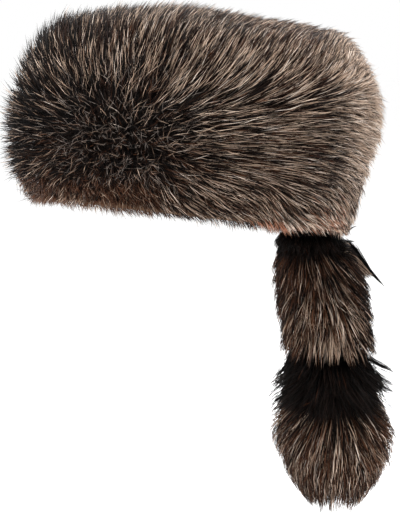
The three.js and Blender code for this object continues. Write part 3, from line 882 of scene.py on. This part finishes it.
ringHair = dict(blackHair, length=0.011, tipHigh=1.02, fanLeft=0.2, fanRight=0.4, dip=0.003)
tuftHair = dict(
    blackHair, length=0.029, tipLow=0.95, tipHigh=1.42, fanLeft=0.9, fanRight=1.3, clump=11, pull=0.85)
total += tailHair("tailRingUpperHair", 2400, 0.001, 0.013, ringHair)
total += tailHair("tailUpperHair", 9000, 0.0095, 0.074, brownHair)
total += tailHair("tailRingLowerHair", 5200, 0.084, 0.112, blackHair)
total += tailHair("tailRingLowerTufts", 900, 0.090, 0.110, tuftHair)
total += tailHair("tailTipHair", 9500, 0.114, 0.184, tipHair)


# Wisps that curl away from the black rings, in metres right of the tail's root and down from it

wisps = dict(
    edge=[(0.0220, 0.0105), (0.0295, 0.0162), (0.0350, 0.0236), (0.0405, 0.0308), (0.0530, 0.0440)],
    high=[(0.0215, 0.0050), (0.0250, 0.0022), (0.0275, 0.0002), (0.0297, -0.0010), (0.0325, -0.0015)],
    low=[(0.0220, 0.0095), (0.0245, 0.0092), (0.0265, 0.0096), (0.0285, 0.0098), (0.0305, 0.0096)],
    ringHigh=[(0.0330, 0.0900), (0.0420, 0.0960), (0.0490, 0.0998), (0.0550, 0.1024), (0.0615, 0.1066)],
    ringMiddle=[(0.0350, 0.0975), (0.0440, 0.1055), (0.0500, 0.1105), (0.0560, 0.1140), (0.0610, 0.1165)],
    ringLow=[(0.0350, 0.1040), (0.0440, 0.1115), (0.0505, 0.1160), (0.0560, 0.1190), (0.0610, 0.1205)],
    behind=0.004, width=0.00045, fillWidth=0.0005, wholeTaper=0.9, ringTaper=0.55,
)


def besideTail(right, down, toward):
    turn = tailFlow["parting"]
    root = tailForm["root"]
    x = root.x + right * math.cos(turn) + toward * math.sin(turn)
    y = root.y + wisps["behind"] + right * math.sin(turn) - toward * math.cos(turn)
    return np.stack([x, y, root.z - down], -1)


def alongLine(name, at):  # right and down at a share of a wisp's line
    line = np.array(wisps[name])
    knots = range(len(line))
    at = at * (len(line) - 1)
    return np.interp(at, knots, line[:, 0]), np.interp(at, knots, line[:, 1])


def wisp(name, count, line, spread, taper):  # a bundle along a line, drawn together at its point
    offset = random.normal(size=(count, 3)) * spread
    shorter = random.uniform(0.55, 1.0, count) ** 0.5
    path = []
    for t in np.linspace(0, 1, len(wisps[line])):
        right, down = alongLine(line, t * shorter)
        thin = 1 - taper * t
        path.append(besideTail(right + offset[:, 0] * thin, down + offset[:, 1] * thin, offset[:, 2] * thin))
    tone, width = evenly("wisp", count), np.full(count, wisps["width"])
    return strandMesh(name, np.stack(path, axis=1), width, tone, hairMat)


def wispFill(name, count, line):  # brown hair that runs out to the long wisp's edge
    share = random.uniform(0.0, 1, count) ** 0.7 * 0.84
    inside = random.uniform(0, 1, count) ** 1.5
    endRight, endDown = alongLine(line, share)
    endRight = endRight - 0.0004 - 0.005 * inside
    endDown = endDown + 0.0004 + 0.004 * inside
    startRight = random.uniform(0.014, 0.022, count)
    startDown = 0.010 + share * 0.010 + 0.006 * inside
    deep = random.normal(size=count) * 0.003
    path = []
    for t in np.linspace(0, 1, 5):
        right = startRight + (endRight - startRight) * t
        down = startDown + (endDown - startDown) * t - 0.0035 * np.sin(math.pi * t)
        path.append(besideTail(right, down, deep * (1 - 0.7 * t) + 0.014 * (1 - t)))
    picked = among(count, 0.16 + 0.14 * inside)
    tone = np.where(picked, evenly("fillPale", count), evenly("fill", count))
    width = np.full(count, wisps["fillWidth"])
    return strandMesh(name, np.stack(path, axis=1), width, tone, hairMat)


total += wisp("tailWispEdge", 200, "edge", 0.0018, wisps["wholeTaper"])
total += wisp("tailWispHigh", 12, "high", 0.0005, wisps["wholeTaper"])
total += wisp("tailWispLow", 8, "low", 0.0004, wisps["wholeTaper"])
total += wisp("tailRingWispHigh", 34, "ringHigh", 0.0022, wisps["ringTaper"])
total += wisp("tailRingWispMiddle", 34, "ringMiddle", 0.0024, wisps["ringTaper"])
total += wisp("tailRingWispLow", 30, "ringLow", 0.0020, wisps["ringTaper"])
total += wispFill("tailWispFill", 1500, "edge")
print("hair done,", total, "triangles")


# Floor, light and camera

studio = dict(floorHeight=-0.2480, floorRadius=40, floor="#ffffff", airStrength=1.0)
scene = bpy.context.scene
floorMesh = bmesh.new()
bmesh.ops.create_circle(floorMesh, cap_ends=True, segments=64, radius=studio["floorRadius"],
                        matrix=Matrix.Translation((0, 0, studio["floorHeight"])))
floorData = bpy.data.meshes.new("floor")
floorMesh.to_mesh(floorData)
floorMesh.free()
floor = bpy.data.objects.new("floor", floorData)
scene.collection.objects.link(floor)
floorMat, floorTree = newMaterial("paintedStudioFloor")
floorShader = addNode(floorTree, "ShaderNodeBsdfPrincipled", {
    "Base Color": srgb(studio["floor"]), "Roughness": 0.9, "Specular IOR Level": 0.1})
addNode(floorTree, "ShaderNodeOutputMaterial", links={0: floorShader.outputs[0]})
floorData.materials.append(floorMat)

world = bpy.data.worlds.new("studioAir")
scene.world = world
world.use_nodes = True
world.node_tree.nodes.clear()
sky = addNode(world.node_tree, "ShaderNodeBackground", {
    "Color": (1, 1, 1, 1), "Strength": studio["airStrength"]})
addNode(world.node_tree, "ShaderNodeOutputWorld", links={0: sky.outputs[0]})


def softbox(name, place, size, power):
    light = bpy.data.lights.new(name, "AREA")
    light.shape = "RECTANGLE"
    light.size, light.size_y = size
    light.energy = power
    lamp = bpy.data.objects.new(name, light)
    lamp.location = place
    lamp.rotation_euler = (Vector((0, 0, 0.02)) - lamp.location).to_track_quat("-Z", "Y").to_euler()
    scene.collection.objects.link(lamp)


softbox("keyLight", (0.9, -1.6, 2.0), (1.2, 1.2), 60)
softbox("topLight", (0.2, 0.2, 2.4), (1.6, 1.6), 50)
softbox("backLight", (-1.4, 1.6, 1.6), (1.0, 1.0), 30)

view = dict(azimuth=math.radians(55), elevation=math.radians(4), lens=200.0,
            across=0.0056, height=-0.0297, far=2.0)
camera = bpy.data.cameras.new("camera")
camera.lens = view["lens"]
camera.sensor_width = 36
camera.sensor_fit = "AUTO"
turn, lift = view["azimuth"], view["elevation"]
backwards = Vector((math.sin(turn) * math.cos(lift), -math.cos(turn) * math.cos(lift), math.sin(lift)))
target = Vector((math.cos(turn) * view["across"], math.sin(turn) * view["across"], view["height"]))
seat = bpy.data.objects.new("camera", camera)
seat.location = target + backwards * view["far"]
seat.rotation_euler = (-backwards).to_track_quat("-Z", "Y").to_euler()
scene.collection.objects.link(seat)
scene.camera = seat
scene.view_settings.view_transform = "Standard"
